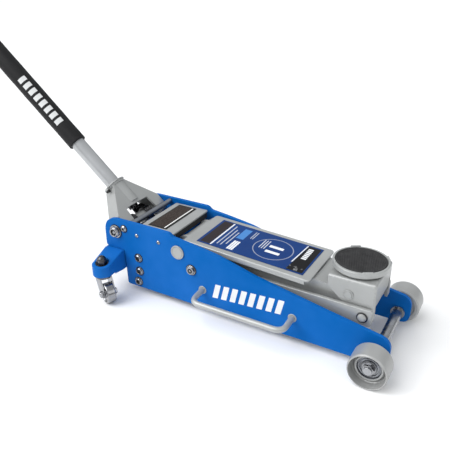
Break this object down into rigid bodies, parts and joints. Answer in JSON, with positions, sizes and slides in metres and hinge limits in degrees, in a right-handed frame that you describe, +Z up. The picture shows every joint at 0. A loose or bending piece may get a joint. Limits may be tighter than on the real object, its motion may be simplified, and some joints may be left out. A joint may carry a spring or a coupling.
{
  "type": "hydraulic floor jack",
  "caption": "Hydraulic floor jack on front wheels and rear casters, with a level-lifting saddle, pump handle and carry handles.",
  "frame": {"origin": "on the floor, under the middle of the jack's outer box with the handle at its rest angle", "axes": "+X towards the saddle and front wheels, +Y to the operator's left, +Z up"},
  "size_m": [1.4438, 0.3324, 0.8499],
  "materials": {
    "blue_paint": "gloss blue enamel, thin at the edges",
    "grey_paint": "satin silver-grey paint",
    "wheel_paint": "satin light-grey paint on steel",
    "silver_tube": "satin silver paint on drawn tube",
    "zinc": "bright zinc plate",
    "dark_steel": "black oxide steel",
    "cast_iron": "oily dark grey casting",
    "chrome": "ground and hard-chromed",
    "rubber": "moulded textured rubber",
    "foam": "closed-cell foam with a fine skin",
    "arm_label": "printed vinyl label, plain blocks and bars",
    "rear_label": "printed vinyl label, plain dark field"
  },
  "bodies": {
    "root": {"side_plate_left": "blue_paint", "side_plate_right": "blue_paint", "front_axle": "zinc", "hub_nut_left": "zinc", "hub_nut_right": "zinc", "arm_pivot_shaft": "grey_paint", "link_pivot_bolt_left": "zinc", "link_pivot_bolt_right": "zinc", "handle_pivot_bolt_left": "zinc", "handle_pivot_bolt_right": "zinc", "stop_bolt_left": "zinc", "stop_bolt_right": "zinc", "rear_tie_rod": "zinc", "rear_cover": "grey_paint", "rear_label": "rear_label", "carry_handle_left": "grey_paint", "carry_handle_right": "grey_paint", "pump_block": "cast_iron", "reservoir_tank": "cast_iron", "filler_plug": "rubber", "caster_bracket_left": "blue_paint", "caster_bracket_right": "blue_paint", "bracket_bolt_left_1": "zinc", "bracket_bolt_left_2": "zinc", "bracket_bolt_left_3": "zinc", "bracket_bolt_right_1": "zinc", "bracket_bolt_right_2": "zinc", "bracket_bolt_right_3": "zinc"},
    "lift_arm": {"lift_arm": "grey_paint", "ram_pin": "zinc", "arm_cover": "grey_paint", "arm_label": "arm_label", "saddle_pin": "zinc"},
    "levelling_link_left": {"levelling_link_left": "grey_paint"},
    "levelling_link_right": {"levelling_link_right": "grey_paint"},
    "saddle_bracket": {"saddle_bracket": "grey_paint", "link_front_bolt_left": "zinc", "link_front_bolt_right": "zinc"},
    "saddle": {"saddle_cup": "grey_paint", "saddle_pad": "rubber"},
    "handle_socket": {"handle_socket": "grey_paint"},
    "pump_roller": {"pump_roller": "zinc"},
    "handle": {"handle_lower_tube": "silver_tube", "handle_upper_tube": "silver_tube", "foam_sleeve": "foam", "handle_grip": "rubber"},
    "ram": {"ram": "chrome"},
    "pump_plunger": {"pump_plunger": "chrome"},
    "release_valve": {"release_valve_stem": "zinc"},
    "front_wheel_left": {"front_wheel_left": "wheel_paint"},
    "front_wheel_right": {"front_wheel_right": "wheel_paint"},
    "caster_fork_left": {"caster_fork_left": "zinc", "caster_axle_left": "zinc", "caster_nut_left": "dark_steel"},
    "caster_fork_right": {"caster_fork_right": "zinc", "caster_axle_right": "zinc", "caster_nut_right": "dark_steel"},
    "caster_wheel_left": {"caster_wheel_left": "zinc"},
    "caster_wheel_right": {"caster_wheel_right": "zinc"}
  },
  "joints": [
    {"name": "arm_lift", "type": "hinge", "parent": "root", "child": "lift_arm", "pos_m": [0.25685, 0, 0.1321], "axis": [0, -1, 0], "range_deg": [-11, 51.7]},
    {"name": "link_left_swing", "type": "hinge", "parent": "root", "child": "levelling_link_left", "pos_m": [0.28945, 0, 0.099], "axis": [0, -1, 0], "range_deg": [-11.5, 52.2]},
    {"name": "link_right_swing", "type": "hinge", "parent": "root", "child": "levelling_link_right", "pos_m": [0.28945, 0, 0.099], "axis": [0, -1, 0], "range_deg": [-11.5, 52.2]},
    {"name": "saddle_level", "type": "hinge", "parent": "lift_arm", "child": "saddle_bracket", "pos_m": [0.61515, 0, 0.128], "axis": [0, -1, 0], "range_deg": [-52.2, 11.5]},
    {"name": "saddle_swivel", "type": "hinge", "parent": "saddle_bracket", "child": "saddle", "pos_m": [0.61785, 0, 0.165], "axis": [0, 0, 1], "continuous": true},
    {"name": "handle_pump", "type": "hinge", "parent": "root", "child": "handle_socket", "pos_m": [0.09415, 0, 0.1405], "axis": [0, 1, 0], "range_deg": [-25, 45]},
    {"name": "plunger_stroke", "type": "slide", "parent": "root", "child": "pump_plunger", "axis": [-1, 0, 0], "range_m": [-0.0101, 0.018]},
    {"name": "roller_spin", "type": "hinge", "parent": "handle_socket", "child": "pump_roller", "pos_m": [0.09832, 0, 0.11686], "axis": [0, 1, 0], "continuous": true},
    {"name": "handle_twist", "type": "hinge", "parent": "handle_socket", "child": "handle", "pos_m": [0.03045, 0, 0.20763], "axis": [-0.7627, 0, 0.6468], "range_deg": [0, 180]},
    {"name": "release_valve_turn", "type": "hinge", "parent": "root", "child": "release_valve", "pos_m": [0.12515, 0.028, 0.092], "axis": [-1, 0, 0], "range_deg": [-1, 181]},
    {"name": "ram_stroke", "type": "slide", "parent": "root", "child": "ram", "axis": [1, 0, 0], "range_m": [-0.0112, 0.0518]},
    {"name": "front_wheel_left_spin", "type": "hinge", "parent": "root", "child": "front_wheel_left", "pos_m": [0.68515, 0.118, 0.0368], "axis": [0, 1, 0], "continuous": true},
    {"name": "front_wheel_right_spin", "type": "hinge", "parent": "root", "child": "front_wheel_right", "pos_m": [0.68515, -0.118, 0.0368], "axis": [0, 1, 0], "continuous": true},
    {"name": "caster_left_swivel", "type": "hinge", "parent": "root", "child": "caster_fork_left", "pos_m": [0.09515, 0.137, 0.074], "axis": [0, 0, 1], "continuous": true},
    {"name": "caster_right_swivel", "type": "hinge", "parent": "root", "child": "caster_fork_right", "pos_m": [0.09515, -0.137, 0.074], "axis": [0, 0, 1], "continuous": true},
    {"name": "caster_wheel_left_spin", "type": "hinge", "parent": "caster_fork_left", "child": "caster_wheel_left", "pos_m": [0.11297, 0.14608, 0.023], "axis": [-0.454, 0.891, 0], "continuous": true},
    {"name": "caster_wheel_right_spin", "type": "hinge", "parent": "caster_fork_right", "child": "caster_wheel_right", "pos_m": [0.11297, -0.14608, 0.023], "axis": [0.454, 0.891, 0], "continuous": true}
  ],
  "couplings": [
    {"joint": "link_left_swing", "follows": "arm_lift", "ratio": 1},
    {"joint": "link_right_swing", "follows": "arm_lift", "ratio": 1},
    {"joint": "saddle_level", "follows": "arm_lift", "ratio": -1},
    {"joint": "ram_stroke", "follows": "arm_lift", "m_per_rad": 0.05696},
    {"joint": "plunger_stroke", "follows": "handle_pump", "m_per_rad": 0.02254},
    {"joint": "release_valve_turn", "follows": "handle_twist", "ratio": 1}
  ]
}
